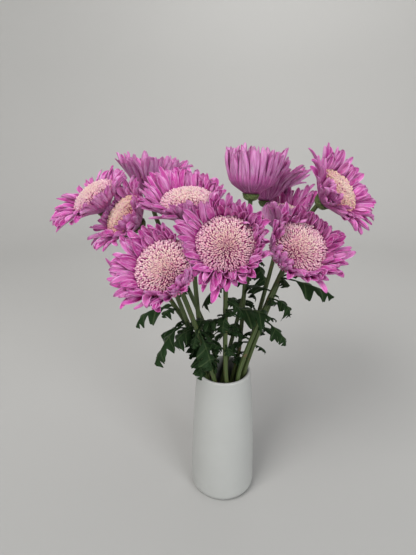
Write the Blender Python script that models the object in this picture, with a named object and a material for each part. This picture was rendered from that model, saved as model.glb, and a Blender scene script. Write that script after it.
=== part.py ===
"""Eleven pincushion chrysanthemums standing in a white tapered jar.

Metres, +Z up. The origin is the centre of the jar's foot, and the front of the bunch faces -Y.
The stems stand on the jar's floor, cross it in a slow spiral and lean on the lip, so they leave
a clear well down the middle. Each flower is a calyx, a cup of ray petals and the cushion of
tubular florets that sits in the cup. Petals fold up where a neighbour stands in their way.
"""

import math
from collections import namedtuple

import bmesh
import bpy
from mathutils import Matrix, Vector

MM = 0.001
GAP = 0.3 * MM  # clearance between pieces that touch

# Jar
JAR_HEIGHT = 160 * MM
JAR_LIP_RADIUS = 30.7 * MM
JAR_FOOT_RADIUS = 38 * MM
JAR_FOOT_ROUNDING = 9 * MM
JAR_INNER_ROUNDING = 5 * MM
JAR_BULGE = 1.2 * MM  # how far the side stands out from a straight taper
JAR_WALL = 4 * MM
JAR_FLOOR = 6 * MM
JAR_SIDES = 40
JAR_SIDE_STEPS = 4
JAR_ROUND_STEPS = 3

# Stems
STEM_RADIUS = 2.6 * MM
STEM_SIDES = 8
STEM_FIRST_SLOT = math.radians(-50)  # where the first stem leans on the lip
STEM_TWIST = math.radians(95)  # turn of the feet against the places at the lip
STEM_RISE_STEPS = 8
STEM_LIP_BEND = 20 * MM  # reach of the bend above the lip
STEM_NECK_BEND = 15 * MM  # reach of the bend under the flower
STEM_NECK = 4 * MM  # straight end of the stem under the flower

# One flower, in its own frame: z along its axis, z = 0 on the floor of the petal cup
RECEPTACLE_RADIUS = 7 * MM
CUSHION_SKIRT = 14 * MM  # height of the cushion's widest circle
CUSHION_CROWN = 12 * MM  # height of the dome above that circle
CUSHION_SIDES = 20
CUSHION_DOME_STEPS = 3
CALYX_RADIUS = 8.5 * MM
CALYX_DEPTH = 6 * MM
CALYX_NECK_RADIUS = STEM_RADIUS + 0.6 * MM
CALYX_SIDES = 10
RAY_THICKNESS = 1 * MM
RAY_COUNT = 16
RAY_NOTCH = 0.78  # length of the notch between two ray tips, as a share of the ray
RAY_CLEARANCE = 1.6 * MM  # what a petal keeps from its neighbour's side, its thickness included

# Leaves
LEAF_THICKNESS = 0.8 * MM
LEAF_STALK_WIDTH = 2.4 * MM
LEAF_FOLD = math.radians(25)  # how far each half of the blade hangs below the midrib
# Stations along a leaf: distance from the stalk's start and half width, as shares of its length and width
LEAF_OUTLINE = (
    (0.0, 0.0), (0.26, 0.0), (0.38, 0.34), (0.47, 0.16),
    (0.6, 0.5), (0.7, 0.24), (0.84, 0.38), (1.0, 0.07),
)

# place: receptacle as (x, y, height above the lip); azimuth and tilt: where the flower faces;
# cushion: cushion radius; ray: length of a petal past the cushion; open_root and open_tip: how
# steeply the petals stand there, in degrees above the cushion's plane; droop: how much further
# the lowest petals fall. The order is the order of the stems around the lip.
Flower = namedtuple("Flower", "number place azimuth tilt cushion ray open_root open_tip droop")
FLOWERS = (
    Flower(7, (68, -6, 139), 284, 52, 27, 22, 50, 26, 15),
    Flower(9, (98, 13, 190), 320, 52, 22, 29, 45, 25, 10),
    Flower(10, (61, 44, 153), 297, 13, 21, 25, 60, 40, 0),
    Flower(8, (27, 49, 191), 60, 6, 24, 32, 78, 62, 0),
    Flower(11, (49, 105, 174), 80, 12, 22, 29, 60, 35, 0),
    Flower(3, (-84, 58, 190), 72, 9, 21, 30, 66, 48, 0),
    Flower(1, (-130, 26, 178), 218, 36, 22, 28, 50, 22, 20),
    Flower(2, (-92, 9, 165), 220, 51, 21, 27, 50, 30, 10),
    Flower(4, (-37, -1, 175), 262, 21, 25, 27, 60, 34, 10),
    Flower(5, (-50, -49, 130), 251, 50, 27, 22, 52, 32, 15),
    Flower(6, (1, -32, 150), 270, 53, 26.5, 24, 50, 26, 30),
)

# stem: number of the flower it grows under; rise: height above the lip; heading: azimuth it grows
# towards; pitch_root and pitch_tip: its slope above the horizontal at each end, in degrees
Leaf = namedtuple("Leaf", "number stem rise heading length width pitch_root pitch_tip")
LEAVES = (
    Leaf(1, 1, 62, 183, 56, 26, 22, -62),
    Leaf(2, 2, 54, 207, 60, 26, -25, -80),
    Leaf(3, 1, 40, 165, 36, 20, 5, -45),
    Leaf(4, 4, 54, 203, 34, 26, 5, -60),
    Leaf(5, 6, 74, 190, 24, 14, -10, -35),
    Leaf(6, 5, 60, 315, 42, 20, -45, -85),
    Leaf(7, 6, 82, 358, 46, 32, 10, -15),
    Leaf(8, 7, 88, 335, 30, 20, 5, -60),
    Leaf(9, 9, 62, 325, 36, 17, -20, -50),
    Leaf(10, 10, 44, 20, 34, 24, 0, -50),
    Leaf(11, 11, 56, 80, 40, 26, 20, -55),
    Leaf(12, 9, 108, 345, 58, 24, -5, -25),
    Leaf(13, 11, 108, 320, 38, 22, -45, -75),
    Leaf(14, 6, 108, 170, 34, 20, -20, -75),
    Leaf(15, 2, 126, 190, 40, 20, 5, -15),
)

JAR_COLOUR = (0.78, 0.78, 0.77)
STEM_COLOUR = (0.19, 0.28, 0.09)
LEAF_COLOUR = (0.03, 0.07, 0.03)
CALYX_COLOUR = (0.12, 0.2, 0.07)
RAY_COLOUR = (0.48, 0.13, 0.42)
CUSHION_COLOUR = (0.82, 0.58, 0.55)


def clear_scene():
    """Takes away whatever the scene held."""
    for old in list(bpy.data.objects):
        bpy.data.objects.remove(old)


def make_material(name, colour, roughness):
    """A plain Principled material."""
    material = bpy.data.materials.new(name)
    material.use_nodes = True
    shader = material.node_tree.nodes["Principled BSDF"]
    shader.inputs["Base Color"].default_value = (*colour, 1)
    shader.inputs["Roughness"].default_value = roughness
    shader.inputs["Metallic"].default_value = 0
    return material


def add_object(name, data, material, parent=None):
    """Links one named object with its own material."""
    piece = bpy.data.objects.new(name, data)
    data.materials.append(material)
    piece.parent = parent
    bpy.context.scene.collection.objects.link(piece)
    return piece


def finish_mesh(name, bm):
    """Turns a bmesh into a mesh with its faces pointing out and its round sides smooth."""
    bmesh.ops.remove_doubles(bm, verts=bm.verts, dist=0.01 * MM)
    bmesh.ops.recalc_face_normals(bm, faces=bm.faces)
    mesh = bpy.data.meshes.new(name)
    bm.to_mesh(mesh)
    bm.free()
    mesh.shade_smooth()
    mesh.set_sharp_from_angle(angle=math.radians(40))
    return mesh


def turned_mesh(name, profile, sides):
    """Spins a profile of (radius, height) points, which starts and ends on the axis, round Z."""
    bm = bmesh.new()
    corners = [bm.verts.new((radius, 0, height)) for radius, height in profile]
    edges = [bm.edges.new(pair) for pair in zip(corners, corners[1:])]
    bmesh.ops.spin(bm, geom=corners + edges, cent=(0, 0, 0), axis=(0, 0, 1),
                   angle=math.tau, steps=sides, use_merge=True)
    return finish_mesh(name, bm)


def arc(centre, radius_across, radius_up, start, end, steps):
    """Points of an ellipse's arc in the (radius, height) plane, both ends included."""
    angles = [math.radians(start + (end - start) * i / steps) for i in range(steps + 1)]
    return [(centre[0] + radius_across * math.cos(a), centre[1] + radius_up * math.sin(a)) for a in angles]


def jar_side(share):
    """Outer radius of the jar at a share of the height from the top of the foot's rounding to the lip."""
    taper = JAR_FOOT_RADIUS + (JAR_LIP_RADIUS - JAR_FOOT_RADIUS) * share
    return taper + JAR_BULGE * 4 * share * (1 - share)


def jar_floor_radius():
    """Radius of the flat floor inside the jar, within its rounded corner."""
    side_height = JAR_HEIGHT - JAR_WALL / 2 - JAR_FOOT_ROUNDING
    share = (JAR_FLOOR + JAR_INNER_ROUNDING - JAR_FOOT_ROUNDING) / side_height
    return jar_side(share) - JAR_WALL - JAR_INNER_ROUNDING


def jar_profile():
    """The jar's outline: foot, outer side, rounded lip, inner side and floor."""
    lip = JAR_WALL / 2
    low, high = JAR_FOOT_ROUNDING, JAR_HEIGHT - lip
    inner_low = JAR_FLOOR + JAR_INNER_ROUNDING
    shares = [i / JAR_SIDE_STEPS for i in range(1, JAR_SIDE_STEPS)]
    outer = [(jar_side(s), low + (high - low) * s) for s in shares]
    inner = [(r - JAR_WALL, z) for r, z in reversed(outer) if z > inner_low + JAR_WALL]
    foot = arc((JAR_FOOT_RADIUS - JAR_FOOT_ROUNDING, low), JAR_FOOT_ROUNDING, JAR_FOOT_ROUNDING,
               -90, 0, JAR_ROUND_STEPS)
    rim = arc((JAR_LIP_RADIUS - lip, high), lip, lip, 0, 180, JAR_ROUND_STEPS + 1)
    well = arc((jar_floor_radius(), inner_low), JAR_INNER_ROUNDING, JAR_INNER_ROUNDING,
               0, -90, JAR_ROUND_STEPS)
    return [(0, 0)] + foot + outer + rim + inner + well + [(0, JAR_FLOOR)]


def make_jar():
    """The jar, one turned body with an open mouth."""
    mesh = turned_mesh("jar", jar_profile(), JAR_SIDES)
    add_object("jar", mesh, make_material("jar_glaze", JAR_COLOUR, 0.5))


def flower_axis(flower):
    """The way the flower faces, as a unit vector."""
    azimuth, tilt = math.radians(flower.azimuth), math.radians(flower.tilt)
    return Vector((math.sin(tilt) * math.cos(azimuth), math.sin(tilt) * math.sin(azimuth), math.cos(tilt)))


def flower_frame(flower):
    """The flower's place and turn: its z is its axis and its y leans to the top of the bunch."""
    x, y, rise = (value * MM for value in flower.place)
    turn = flower_axis(flower).to_track_quat("Z", "Y").to_matrix().to_4x4()
    return Matrix.Translation((x, y, JAR_HEIGHT + rise)) @ turn


def ring_point(radius, angle, height):
    """A point on a level circle round the jar's axis."""
    return Vector((radius * math.cos(angle), radius * math.sin(angle), height))


def stem_line(flower):
    """The middle line of the flower's stem, from its foot in the jar to its calyx."""
    slot = STEM_FIRST_SLOT + math.tau * FLOWERS.index(flower) / len(FLOWERS)
    foot_height = JAR_FLOOR + GAP
    lip_ring = JAR_LIP_RADIUS - JAR_WALL - GAP - STEM_RADIUS
    lip = ring_point(lip_ring, slot, JAR_HEIGHT)
    foot = ring_point(jar_floor_radius() - STEM_RADIUS, slot + STEM_TWIST, foot_height)
    run = (lip - foot).normalized()
    foot += run * STEM_RADIUS * math.hypot(run.x, run.y) / run.z
    lean = math.hypot(run.x, run.y) / run.z
    lip -= Vector((lip.x, lip.y, 0)).normalized() * STEM_RADIUS * (math.sqrt(1 + lean * lean) - 1)
    frame = flower_frame(flower)
    neck = frame @ Vector((0, 0, -RAY_THICKNESS - CALYX_DEPTH - 2 * GAP))
    bend_top = neck - flower_axis(flower) * STEM_NECK
    handle_low = lip + run * STEM_LIP_BEND
    handle_high = bend_top - flower_axis(flower) * STEM_NECK_BEND
    line = [foot, foot.lerp(lip, 0.5)]
    for i in range(STEM_RISE_STEPS + 1):
        t = i / STEM_RISE_STEPS
        line.append(lip * (1 - t) ** 3 + handle_low * 3 * t * (1 - t) ** 2
                    + handle_high * 3 * t * t * (1 - t) + bend_top * t ** 3)
    return line + [neck]


def make_stem(flower, line):
    """A stem: a round tube along its middle line."""
    name = f"flower_{flower.number:02d}_stem"
    curve = bpy.data.curves.new(name, "CURVE")
    curve.dimensions = "3D"
    curve.bevel_depth = STEM_RADIUS
    curve.bevel_resolution = STEM_SIDES // 2 - 2
    curve.use_fill_caps = True
    spline = curve.splines.new("POLY")
    spline.points.add(len(line) - 1)
    for point, place in zip(spline.points, line):
        point.co = (*place, 1)
    add_object(name, curve, make_material(name, STEM_COLOUR, 0.6))


def flower_heart(flower):
    """The middle of the flower's cushion."""
    return flower_frame(flower) @ Vector((0, 0, CUSHION_SKIRT))


def nearest_on_line(line, place):
    """The point of a line of points that is nearest to a place."""
    found = []
    for start, end in zip(line, line[1:]):
        share = (place - start).dot(end - start) / (end - start).length_squared
        found.append(start.lerp(end, min(max(share, 0), 1)))
    return min(found, key=lambda point: (point - place).length)


def flower_walls(flower, lines):
    """Planes that the flower's petals stay behind, as (unit normal, offset): one halfway to each
    neighbour's cushion, shared out by their radii, and one in front of each other stem."""
    heart = flower_heart(flower)
    walls = []
    for other, line in lines.items():
        if other == flower:
            continue
        away = flower_heart(other) - heart
        share = flower.cushion / (flower.cushion + other.cushion)
        normal = away.normalized()
        walls.append((normal, normal.dot(heart) + away.length * share - RAY_CLEARANCE))
        away = nearest_on_line(line, heart) - heart
        normal = away.normalized()
        walls.append((normal, normal.dot(heart) + away.length - STEM_RADIUS - RAY_CLEARANCE))
    return walls


def petal_points(flower, angle, length, fold, fall):
    """Middle and tip of a petal in the flower's frame. fold 0 is its free stance, 1 is upright."""
    root_slope, tip_slope = flower.open_root, flower.open_tip - fall
    radius, height = flower.cushion * MM + RAY_THICKNESS, CUSHION_SKIRT
    points = []
    for slope in (root_slope, tip_slope):
        lifted = math.radians(slope + (90 - slope) * fold)
        radius += length / 2 * math.cos(lifted)
        height += length / 2 * math.sin(lifted)
        points.append(Vector((radius * math.cos(angle), radius * math.sin(angle), height)))
    return points


def fitted_petal(flower, frame, walls, angle, length):
    """The petal's middle and tip, folded up, and then shortened, until it is behind every wall."""
    outward = frame.to_3x3() @ Vector((math.cos(angle), math.sin(angle), 0))
    fall = flower.droop * max(0, -outward.z)
    stances = [(fold / 20, 1) for fold in range(21)] + [(1, 1 - cut / 20) for cut in range(1, 19)]
    for fold, kept in stances:
        points = petal_points(flower, angle, length * kept, fold, fall)
        if all(normal.dot(frame @ p) <= offset for p in points for normal, offset in walls):
            break
    return points


def rays_mesh(name, flower, walls):
    """The petal cup's inner surface: a floor, a wall under the cushion and a ring of ray tips."""
    frame = flower_frame(flower)
    columns = 2 * RAY_COUNT
    bm = bmesh.new()
    centre = bm.verts.new((0, 0, 0))
    rings = []
    for column in range(columns):
        angle = math.tau * column / columns
        length = flower.ray * MM * (1 if column % 2 == 0 else RAY_NOTCH)
        across = Vector((math.cos(angle), math.sin(angle), 0))
        floor_edge = across * RECEPTACLE_RADIUS
        skirt = across * (flower.cushion * MM + RAY_THICKNESS) + Vector((0, 0, CUSHION_SKIRT))
        points = [floor_edge, skirt] + fitted_petal(flower, frame, walls, angle, length)
        rings.append([bm.verts.new(p) for p in points])
    for a, b in zip(rings, rings[1:] + rings[:1]):
        bm.faces.new((centre, a[0], b[0]))
        for low in range(len(a) - 1):
            bm.faces.new((a[low], a[low + 1], b[low + 1], b[low]))
    mesh = bpy.data.meshes.new(name)
    bm.to_mesh(mesh)
    bm.free()
    return mesh


def make_rays(flower, walls, parent):
    """The cup of ray petals, thickened downwards and outwards from its inner surface."""
    name = f"flower_{flower.number:02d}_rays"
    piece = add_object(name, rays_mesh(name, flower, walls), make_material(name, RAY_COLOUR, 0.7), parent)
    solidify = piece.modifiers.new("thickness", "SOLIDIFY")
    solidify.thickness = RAY_THICKNESS
    solidify.offset = -1


def make_cushion(flower, parent):
    """The cushion of florets: a cone that fills the cup and a dome above its widest circle."""
    name = f"flower_{flower.number:02d}_cushion"
    radius = flower.cushion * MM
    dome = arc((0, CUSHION_SKIRT), radius, CUSHION_CROWN, 0, 90, CUSHION_DOME_STEPS)
    profile = [(0, GAP), (RECEPTACLE_RADIUS - 2 * GAP, GAP)] + dome
    mesh = turned_mesh(name, profile, CUSHION_SIDES)
    add_object(name, mesh, make_material(name, CUSHION_COLOUR, 0.9), parent)


def make_calyx(flower, parent):
    """The green calyx under the cup, between it and the stem."""
    name = f"flower_{flower.number:02d}_calyx"
    top = -RAY_THICKNESS - GAP
    low = top - CALYX_DEPTH
    bowl = [(CALYX_RADIUS, top - CALYX_DEPTH * 0.2), (CALYX_RADIUS * 0.8, top - CALYX_DEPTH * 0.6)]
    profile = [(0, low), (CALYX_NECK_RADIUS, low)] + bowl[::-1] + [(CALYX_RADIUS * 0.9, top), (0, top)]
    mesh = turned_mesh(name, profile, CALYX_SIDES)
    add_object(name, mesh, make_material(name, CALYX_COLOUR, 0.7), parent)


def make_flower(flower, lines):
    """A flower: an empty at its place that carries its cup, cushion and calyx, and its stem."""
    head = bpy.data.objects.new(f"flower_{flower.number:02d}", None)
    bpy.context.scene.collection.objects.link(head)
    head.matrix_world = flower_frame(flower)
    make_rays(flower, flower_walls(flower, lines), head)
    make_cushion(flower, head)
    make_calyx(flower, head)
    make_stem(flower, lines[flower])


def point_at_height(line, height):
    """Where a rising line passes a height, and its direction there."""
    for low, high in zip(line, line[1:]):
        if low.z <= height <= high.z:
            return low.lerp(high, (height - low.z) / (high.z - low.z)), (high - low).normalized()
    raise ValueError(f"the stem doesn't reach {height}")


def leaf_mesh(name, leaf):
    """A lobed blade on a stalk, in its own frame: x is its heading, and it starts at the origin."""
    length, width = leaf.length * MM, leaf.width * MM
    bm = bmesh.new()
    rows = []
    place, last = Vector((0, 0, 0)), 0
    for share, half in LEAF_OUTLINE:
        pitch = math.radians(leaf.pitch_root + (leaf.pitch_tip - leaf.pitch_root) * (share + last) / 2)
        place = place + Vector((math.cos(pitch), 0, math.sin(pitch))) * (share - last) * length
        last = share
        stalk = LEAF_STALK_WIDTH / 2
        blade = max(half * width - stalk, 0)
        hang = Vector((math.sin(pitch), 0, -math.cos(pitch))) * blade * math.sin(LEAF_FOLD)
        side = Vector((0, stalk + blade * math.cos(LEAF_FOLD), 0))
        rows.append([bm.verts.new(p) for p in (place - side + hang, place, place + side + hang)])
    for a, b in zip(rows, rows[1:]):
        bm.faces.new((a[0], b[0], b[1], a[1]))
        bm.faces.new((a[1], b[1], b[2], a[2]))
    mesh = bpy.data.meshes.new(name)
    bm.to_mesh(mesh)
    bm.free()
    return mesh


def make_leaf(leaf, lines):
    """A leaf that starts on its stem's side and grows away from it. The end of its stalk, whose
    corners lean towards the stem, keeps the clearance."""
    name = f"leaf_{leaf.number:02d}"
    line = next(line for flower, line in lines.items() if flower.number == leaf.stem)
    axis_point, along = point_at_height(line, JAR_HEIGHT + leaf.rise * MM)
    heading, pitch = math.radians(leaf.heading), math.radians(leaf.pitch_root)
    out = Vector((math.cos(heading), math.sin(heading), 0))
    side = Vector((-out.y, out.x, 0))
    upper = Vector((0, 0, 1)) * math.cos(pitch) - out * math.sin(pitch)
    square_out = out - along * out.dot(along)
    away = square_out.normalized()
    half_stalk = (LEAF_THICKNESS * abs(upper.dot(away)) + LEAF_STALK_WIDTH * abs(side.dot(away))) / 2
    reach = STEM_RADIUS + GAP + half_stalk
    piece = add_object(name, leaf_mesh(name, leaf), make_material(name, LEAF_COLOUR, 0.7))
    piece.location = axis_point + out * reach / square_out.length
    piece.rotation_euler = (0, 0, heading)
    solidify = piece.modifiers.new("thickness", "SOLIDIFY")
    solidify.thickness = LEAF_THICKNESS
    solidify.offset = 0


def main():
    clear_scene()
    make_jar()
    lines = {flower: stem_line(flower) for flower in FLOWERS}
    for flower in FLOWERS:
        make_flower(flower, lines)
    for leaf in LEAVES:
        make_leaf(leaf, lines)


main()
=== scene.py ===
"""The looks of a bunch of pincushion chrysanthemums in a tapered white jar, built round its frame.

Each flower head gets its ray petals, its cushion of tubular florets and its calyx of bracts, each
stem its ribs, each leaf its lobes and veins, and the jar its glaze. Lengths are in metres.
"""

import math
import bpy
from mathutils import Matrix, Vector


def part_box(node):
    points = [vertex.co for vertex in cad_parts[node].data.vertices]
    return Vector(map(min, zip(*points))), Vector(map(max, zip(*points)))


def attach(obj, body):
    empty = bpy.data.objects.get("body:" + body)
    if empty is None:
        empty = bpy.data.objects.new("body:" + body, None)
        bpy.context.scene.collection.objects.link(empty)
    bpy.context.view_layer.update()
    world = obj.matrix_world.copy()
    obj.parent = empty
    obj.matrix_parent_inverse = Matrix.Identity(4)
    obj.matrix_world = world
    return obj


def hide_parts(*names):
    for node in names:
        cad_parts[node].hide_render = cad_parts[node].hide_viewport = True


bl_info = {
    "name": "Chrysanthemums in a Jar",
    "version": (1, 0, 0),
    "blender": (4, 5, 0),
    "location": "3D View > Sidebar > Bunch",
    "description": "Builds petals, florets, bracts, stems, leaves, jar and studio round the frame",
    "category": "Add Mesh",
}

from collections import namedtuple

import bpy
import numpy as np
from bpy.props import FloatProperty, FloatVectorProperty, IntProperty, PointerProperty
from mathutils import Vector

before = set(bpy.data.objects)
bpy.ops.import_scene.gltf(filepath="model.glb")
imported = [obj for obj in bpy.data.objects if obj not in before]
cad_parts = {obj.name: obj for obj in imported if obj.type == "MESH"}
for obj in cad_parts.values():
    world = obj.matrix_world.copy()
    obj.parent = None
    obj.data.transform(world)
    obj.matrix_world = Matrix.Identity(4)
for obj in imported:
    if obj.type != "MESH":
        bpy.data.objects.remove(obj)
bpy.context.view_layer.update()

MM = 0.001
GAP = 0.3 * MM  # clearance between the frame's pieces

# One flower head, in its own frame: z along its axis, z = 0 on the floor of the petal cup
SKIRT = 14 * MM  # height of the cushion's widest circle
CROWN = 12 * MM  # height of the dome above it
CALYX_LOW = -7.3 * MM  # underside of the calyx

# ray: length of a petal past the cushion, in millimetres; root and tip: its slope at the cushion and
# at its end, in degrees above the cushion's plane; fall: how many degrees lower the petals lie on
# the side that faces way, an (x, z) direction; short: share of their length that the petals on the
# other side lack, or have beyond it where it is negative; dense: how crowded the petals are; peach:
# whether the florets are warm; reach: other flowers, and how many millimetres past halfway to
# their cushions its petals may go
Bloom = namedtuple("Bloom", "number ray root tip fall way short dense peach reach")
BLOOMS = (
    Bloom(1, 23, 40, -4, 70, (0.5, 1.0), -0.36, 1.15, 0, {}),
    Bloom(2, 27, 60, 44, 26, (-1.0, -0.1), 0.25, 1.1, 1, {1: 7, 3: 5, 4: 2, 5: 3}),
    Bloom(3, 29, 66, 54, 10, (0.0, 1.0), 0.0, 1.2, 0, {}),
    Bloom(4, 36, 68, 54, 46, (-1.0, -0.7), 0.50, 1.2, 0, {2: 2, 5: 8, 6: -6}),
    Bloom(5, 27, 80, 72, 44, (-1.0, -0.3), 0.32, 1.25, 0, {6: -8, 4: -4}),
    Bloom(6, 31, 76, 66, 54, (-0.8, -0.7), 0.30, 1.25, 0, {5: 12, 4: 8, 7: 4}),
    Bloom(7, 27, 80, 72, 30, (1.0, -0.4), 0.10, 1.25, 0, {6: -2, 10: -4}),
    Bloom(8, 33, 82, 98, 16, (1.0, -0.4), 0.0, 1.6, 0, {}),
    Bloom(9, 26, 54, 36, 14, (0.7, -0.7), 0.0, 1.2, 1, {8: 9, 11: 12}),
    Bloom(10, 34, 66, 46, 24, (-1.0, 0.3), 0.0, 1.2, 0, {7: 4, 6: 2}),
    Bloom(11, 35, 64, 46, 20, (1.0, 0.3), 0.0, 1.15, 0, {9: -3}),
)

# stem: number of the flower it grows under; rise: height above the lip; heading: azimuth it grows
# towards; root and tip: its slope above the horizontal at each end; curl: how much further its
# end rolls down; sway: how far it turns aside. Angles are in degrees and lengths in millimetres.
Leaf = namedtuple("Leaf", "number stem rise heading length width root tip curl sway")
LEAVES = (
    Leaf(1, 1, 62, 183, 56, 26, 22, -62, 10, 10),
    Leaf(2, 2, 54, 207, 60, 26, -25, -80, -10, -10),
    Leaf(3, 1, 40, 165, 36, 20, 5, -45, 0, 15),
    Leaf(4, 4, 54, 203, 34, 26, 5, -60, 20, 0),
    Leaf(5, 6, 74, 190, 24, 14, -10, -35, 20, 0),
    Leaf(6, 5, 60, 315, 42, 20, -45, -85, 0, 10),
    Leaf(7, 6, 82, 358, 46, 32, 10, -15, 20, -10),
    Leaf(8, 7, 88, 335, 30, 20, 5, -60, 40, 0),
    Leaf(9, 9, 62, 325, 36, 17, -20, -50, 30, 10),
    Leaf(10, 10, 44, 20, 34, 24, 0, -50, 0, 0),
    Leaf(11, 11, 56, 80, 40, 26, 20, -55, 10, 10),
    Leaf(12, 9, 108, 345, 58, 24, -5, -25, 10, 10),
    Leaf(13, 11, 108, 320, 38, 22, -45, -75, 0, 0),
    Leaf(14, 6, 108, 170, 34, 20, -20, -75, 0, 0),
    Leaf(15, 2, 126, 190, 40, 20, 5, -15, 0, 0),
)

# What each kind of piece adds to its number to seed its random differences
PETAL_SEED, FLORET_SEED, BRACT_SEED, STEM_SEED, LEAF_SEED = 100, 200, 300, 400, 500


# ---------------------------------------------------------------- shapes


def smooth(t):
    """A step that starts and ends level."""
    t = np.clip(t, 0, 1)
    return t * t * (3 - 2 * t)


def unit(v):
    """Vectors along the last axis made one long."""
    return v / np.maximum(np.linalg.norm(v, axis=-1, keepdims=True), 1e-12)


def shell_faces(count, rows, columns):
    """Faces of closed thin shells, each with its upper points first and then its lower ones."""
    size = rows * columns
    index = np.arange(size).reshape(rows, columns)
    upper = np.stack([index[:-1, :-1], index[:-1, 1:], index[1:, 1:], index[1:, :-1]], -1)
    upper = upper.reshape(-1, 4)
    edge = np.concatenate([index[0], index[1:, -1], index[-1, -2::-1], index[-2:0:-1, 0]])
    after = np.roll(edge, -1)
    rim = np.stack([after, edge, edge + size, after + size], -1)
    one = np.concatenate([upper, upper[:, ::-1] + size, rim])
    return (one[None] + np.arange(count)[:, None, None] * 2 * size).reshape(-1, 4)


def tube_faces(count, rings, sides):
    """Faces of closed tubes of rings of points, as (quads, end caps)."""
    index = np.arange(rings * sides).reshape(rings, sides)
    after = np.roll(index, -1, axis=1)
    walls = np.stack([index[:-1], after[:-1], after[1:], index[1:]], -1).reshape(-1, 4)
    caps = np.stack([index[0, ::-1], index[-1]])
    step = np.arange(count)[:, None, None] * rings * sides
    return (walls[None] + step).reshape(-1, 4), (caps[None] + step).reshape(-1, sides)


def grid_normals(grid):
    """Normals of sheets of points (sheet, row, column, 3), on the side that shell_faces calls upper."""
    return unit(np.cross(np.gradient(grid, axis=2), np.gradient(grid, axis=1)))


def shells(grid, upper, lower):
    """Closed shells round sheets of points, with their upper and lower offsets."""
    normals = grid_normals(grid)
    count, rows, columns = grid.shape[:3]
    sides = np.stack([grid + normals * upper[..., None], grid - normals * lower[..., None]], 1)
    return sides.reshape(-1, 3), [shell_faces(count, rows, columns)]


def all_over(values, shape):
    """A value for each point of a shape."""
    return np.broadcast_to(values, shape).reshape(-1)


def both_sides(values, shape):
    """The same value on the upper and the lower side of each shell."""
    one = np.broadcast_to(values, shape)
    return np.stack([one, one], 1).reshape(-1)


def side_flags(shape):
    """0 on the upper side of each shell and 1 on the lower side."""
    return np.stack([np.zeros(shape), np.ones(shape)], 1).reshape(-1)


def across_frame(direction):
    """Two unit vectors square to each direction."""
    helper = np.where(np.abs(direction[..., 2:3]) < 0.9, [0.0, 0, 1], [1.0, 0, 0])
    first = unit(np.cross(helper, direction))
    return first, np.cross(direction, first)


def swept_tube(line, radii, sides):
    """Rings of points round a smooth line, each point at its own radius (ring, side)."""
    tangent = unit(np.gradient(line, axis=0))
    first = unit(np.cross(np.cross(tangent[0], [0.3, 1, 0]), tangent[0]))
    rings = []
    turn = np.arange(sides) * math.tau / sides
    for place, along, ring in zip(line, tangent, radii):
        first = unit(first - along * first.dot(along))
        second = np.cross(along, first)
        spokes = first * np.cos(turn)[:, None] + second * np.sin(turn)[:, None]
        rings.append(place + spokes * ring[:, None])
    return np.array(rings)


def round_way(turn):
    """Level unit vectors at these turns round the axis."""
    return np.stack([np.cos(turn), np.sin(turn), np.zeros(len(turn))], -1)


def turned(profile, sides):
    """Rings of a turned body from (radius, height) points that start and end near the axis."""
    spokes = round_way(np.arange(sides) * math.tau / sides)
    profile = np.asarray(profile)
    return spokes[None] * profile[:, :1, None] + profile[:, 1, None, None] * np.array([0, 0, 1.0])


class Shape:
    """Points, faces and named values of points that gather into one mesh."""

    def __init__(self, *names):
        self.points, self.faces = [], []
        self.values = {name: [] for name in names}
        self.count = 0

    def add(self, points, faces, **values):
        """Adds points and blocks of faces on them, each block with its own number of corners."""
        points = points.reshape(-1, 3)
        for block in faces:
            self.faces.append(block + self.count)
        for name, held in self.values.items():
            held.append(np.broadcast_to(np.asarray(values.get(name, 0.0), float), len(points)))
        self.points.append(points)
        self.count += len(points)

    def add_rings(self, rings, head=None, **values):
        """Adds a closed body through rings of points (ring, side, 3), set out from a head if given."""
        points = rings.reshape(-1, 3)
        points = head.set_out(points) if head else points
        self.add(points, tube_faces(1, *rings.shape[:2]), **values)

    def piece(self, name, finish, slot, *nodes):
        """The finished object, which hides the frame's nodes that it stands for and rides with the root
        body.
        """
        points = np.concatenate(self.points)
        mesh = bpy.data.meshes.new(name)
        mesh.vertices.add(len(points))
        mesh.vertices.foreach_set("co", points.astype(np.float32).ravel())
        sizes = np.concatenate([np.full(len(block), block.shape[1]) for block in self.faces])
        corners = np.concatenate([block.ravel() for block in self.faces])
        mesh.loops.add(len(corners))
        mesh.loops.foreach_set("vertex_index", corners.astype(np.int32))
        mesh.polygons.add(len(sizes))
        starts = np.concatenate([[0], np.cumsum(sizes)[:-1]])
        mesh.polygons.foreach_set("loop_start", starts.astype(np.int32))
        mesh.update(calc_edges=True)
        mesh.shade_smooth()
        for key, held in self.values.items():
            attribute = mesh.attributes.new(key, "FLOAT", "POINT")
            attribute.data.foreach_set("value", np.concatenate(held).astype(np.float32))
        mesh.materials.append(finish)
        made = bpy.data.objects.new(name, mesh)
        bpy.context.scene.collection.objects.link(made)
        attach(made, "root")
        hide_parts(*nodes)
        return made


# ---------------------------------------------------------------- places, from the frame

STEM_FOOT, STEM_NECK = 1.5 * MM, 3 * MM  # how far from a stem's ends its level cuts stay
STEM_CUTS, STEM_SMOOTHINGS = 80, 6
# How far petals stay from the plane between two heads, and from a stem's middle line
HEAD_CLEARANCE, STEM_CLEARANCE = 0.6 * MM, 4 * MM


def node_triangles(name):
    """Corners of a frame node's triangles."""
    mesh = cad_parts[name].data
    mesh.calc_loop_triangles()
    index = np.zeros(len(mesh.loop_triangles) * 3, np.int32)
    mesh.loop_triangles.foreach_get("vertices", index)
    points = np.zeros(len(mesh.vertices) * 3, np.float32)
    mesh.vertices.foreach_get("co", points)
    return points.reshape(-1, 3).astype(float)[index].reshape(-1, 3, 3)


def centre_of(triangles):
    """Centre of mass of a closed body."""
    volumes = np.einsum("ij,ij->i", triangles[:, 0], np.cross(triangles[:, 1], triangles[:, 2]))
    return (triangles.mean(1) * 0.75 * volumes[:, None]).sum(0) / volumes.sum()


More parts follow.
